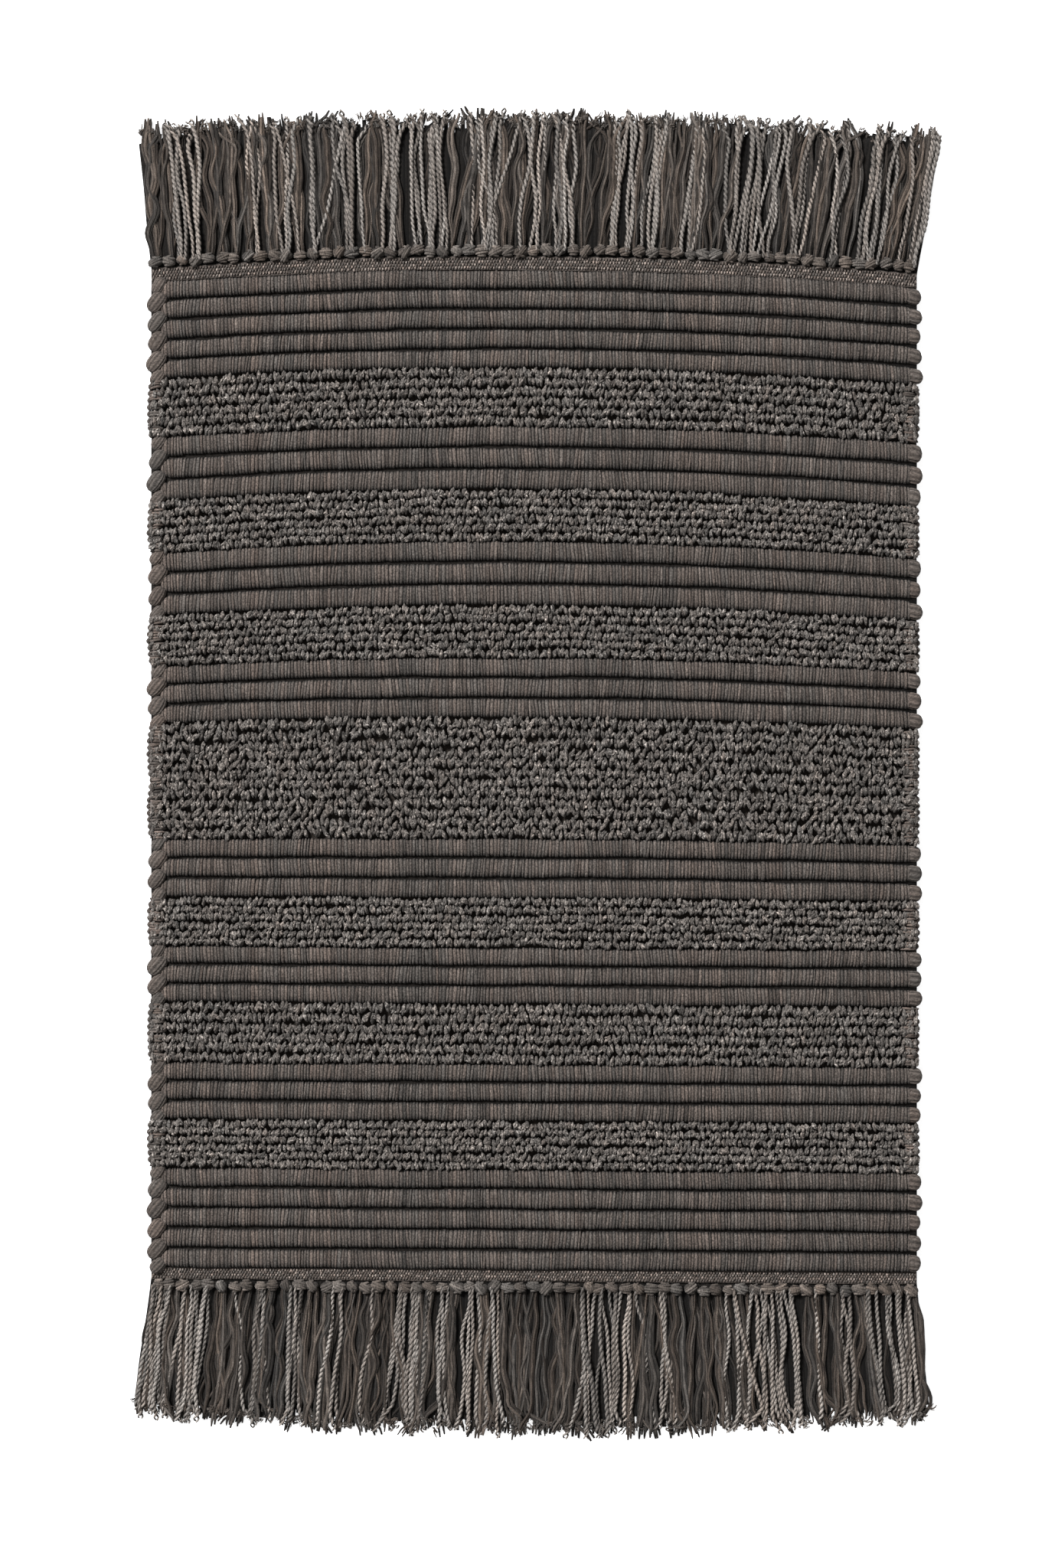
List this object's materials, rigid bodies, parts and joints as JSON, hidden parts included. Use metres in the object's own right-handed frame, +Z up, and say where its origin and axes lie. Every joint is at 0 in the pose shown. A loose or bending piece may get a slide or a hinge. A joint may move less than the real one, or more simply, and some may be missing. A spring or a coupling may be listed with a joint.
{
  "type": "bath mat",
  "caption": "Flat hand-woven rectangular cotton mat with raised cross ribs, bands of soft pile and a knotted fringe at both ends, to stand on beside a bath.",
  "frame": {"origin": "On the floor under the middle of the mat, on the line where it folds in half.", "axes": "+X across the mat along its ribs, +Y along its length towards the end with the bowed ribs, +Z up out of the pile"},
  "size_m": [0.621, 1.0322, 0.011],
  "materials": {
    "warp_yarn": "matt heathered cotton yarn, taupe grey",
    "filler_cord": "matt loosely twisted cotton cord",
    "chenille_pile": "soft cut chenille with a slight sheen, slate taupe",
    "ground_weave": "matt plain weave, dark taupe",
    "fringe_yarn": "matt twisted cotton yarn, mixed greys and browns"
  },
  "bodies": {
    "near_half": {"chenille_centre_near": "chenille_pile", "chenille_4": "chenille_pile", "chenille_5": "chenille_pile", "chenille_6": "chenille_pile", "ground_weave_centre_near": "ground_weave", "ground_weave_4": "ground_weave", "ground_weave_5": "ground_weave", "ground_weave_6": "ground_weave", "rib_cover_15": "warp_yarn", "rib_cover_16": "warp_yarn", "rib_cover_17": "warp_yarn", "rib_cover_18": "warp_yarn", "rib_cover_19": "warp_yarn", "rib_cover_20": "warp_yarn", "rib_cover_21": "warp_yarn", "rib_cover_22": "warp_yarn", "rib_cover_23": "warp_yarn", "rib_cover_24": "warp_yarn", "rib_cover_25": "warp_yarn", "rib_cover_26": "warp_yarn", "rib_cover_27": "warp_yarn", "rib_cover_28": "warp_yarn", "rib_filler_05": "filler_cord", "rib_filler_06": "filler_cord", "rib_filler_07": "filler_cord", "rib_filler_08": "filler_cord", "heading_near": "ground_weave", "knots_near": "fringe_yarn", "fringe_near": "fringe_yarn"},
    "far_half": {"chenille_centre_far": "chenille_pile", "chenille_3": "chenille_pile", "chenille_2": "chenille_pile", "chenille_1": "chenille_pile", "ground_weave_centre_far": "ground_weave", "ground_weave_3": "ground_weave", "ground_weave_2": "ground_weave", "ground_weave_1": "ground_weave", "rib_cover_01": "warp_yarn", "rib_cover_02": "warp_yarn", "rib_cover_03": "warp_yarn", "rib_cover_04": "warp_yarn", "rib_cover_05": "warp_yarn", "rib_cover_06": "warp_yarn", "rib_cover_07": "warp_yarn", "rib_cover_08": "warp_yarn", "rib_cover_09": "warp_yarn", "rib_cover_10": "warp_yarn", "rib_cover_11": "warp_yarn", "rib_cover_12": "warp_yarn", "rib_cover_13": "warp_yarn", "rib_cover_14": "warp_yarn", "rib_filler_01": "filler_cord", "rib_filler_02": "filler_cord", "rib_filler_03": "filler_cord", "rib_filler_04": "filler_cord", "heading_far": "ground_weave", "knots_far": "fringe_yarn", "fringe_far": "fringe_yarn"}
  },
  "joints": [
    {"name": "middle_fold", "type": "hinge", "parent": "near_half", "child": "far_half", "pos_m": [0, 0, 0.014], "axis": [1, 0, 0], "range_deg": [0, 180]}
  ]
}
